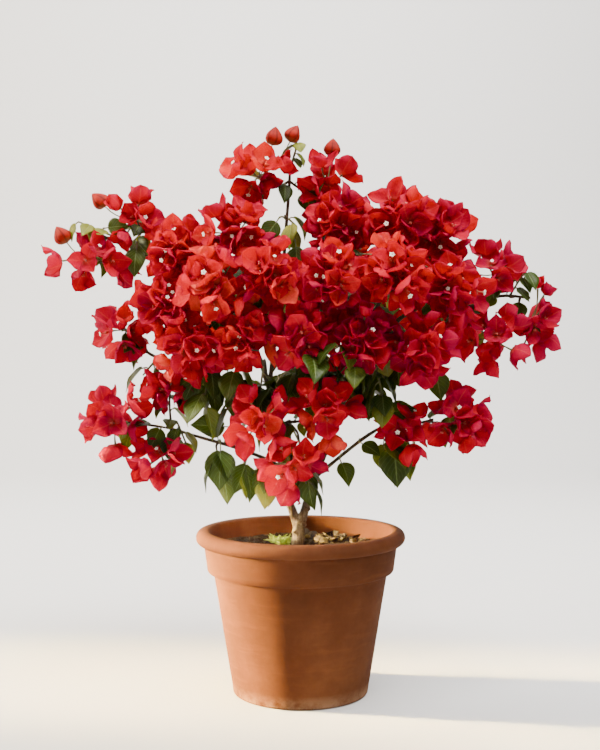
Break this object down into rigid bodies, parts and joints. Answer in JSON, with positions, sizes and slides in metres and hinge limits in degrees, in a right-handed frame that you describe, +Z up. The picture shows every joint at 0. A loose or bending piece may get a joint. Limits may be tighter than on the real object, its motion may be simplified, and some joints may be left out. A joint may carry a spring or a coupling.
{
  "type": "potted bougainvillea bonsai",
  "caption": "Small flowering tree with a forked woody stem and a broad crown of red papery bracts over heart-shaped leaves, in a round flared terracotta pot with a rolled lip.",
  "frame": {"origin": "middle of the pot's flat base, on the surface that it stands on", "axes": "+Z up along the pot's axis, -Y to the side with the low front sprays, +X to the side with the lower arm"},
  "size_m": [0.5905, 0.2885, 0.643],
  "materials": {
    "terracotta": "matt, unglazed",
    "soil": "rough, crumbly",
    "bark": "matt, ridged",
    "bracts": "thin, papery, light passes through",
    "leaves": "satin, light passes through"
  },
  "bodies": {
    "root": {"pot": "terracotta", "soil": "soil", "trunk": "bark", "head_top_left": "bracts", "head_top_right": "bracts", "head_arm_left": "bracts", "head_arm_tip": "bracts", "head_left_top_a": "bracts", "head_left_top_b": "bracts", "head_left_side": "bracts", "head_left_front": "bracts", "head_left_low_a": "bracts", "head_left_low_b": "bracts", "head_notch": "bracts", "head_notch_low": "bracts", "head_right_top_a": "bracts", "head_right_top_b": "bracts", "head_right_top_c": "bracts", "head_right_front_a": "bracts", "head_right_front_b": "bracts", "head_right_side": "bracts", "head_right_low_a": "bracts", "head_right_low_b": "bracts", "head_far_right_top": "bracts", "head_far_right_low": "bracts", "head_tip_right": "bracts", "head_mid_left": "bracts", "head_low_left_a": "bracts", "head_low_left_b": "bracts", "head_low_left_c": "bracts", "head_low_mid_a": "bracts", "head_low_mid_b": "bracts", "head_low_mid_c": "bracts", "head_low_right_a": "bracts", "head_low_right_b": "bracts", "head_back_a": "bracts", "head_back_b": "bracts", "head_back_c": "bracts", "head_back_d": "bracts", "head_back_e": "bracts", "head_back_f": "bracts", "head_back_g": "bracts", "head_back_h": "bracts", "shoot_under_left_a": "leaves", "shoot_under_left_b": "leaves", "shoot_under_left_c": "leaves", "shoot_low_left_a": "leaves", "shoot_low_left_b": "leaves", "shoot_low_left_c": "leaves", "shoot_trunk_left": "leaves", "shoot_trunk_front": "leaves", "shoot_low_right_a": "leaves", "shoot_under_right": "leaves", "shoot_under_mid": "leaves", "shoot_mid_left": "leaves", "shoot_top": "leaves", "shoot_leader": "leaves", "shoot_arm_left": "leaves", "shoot_arm_right": "leaves", "shoot_back": "leaves"}
  },
  "joints": []
}
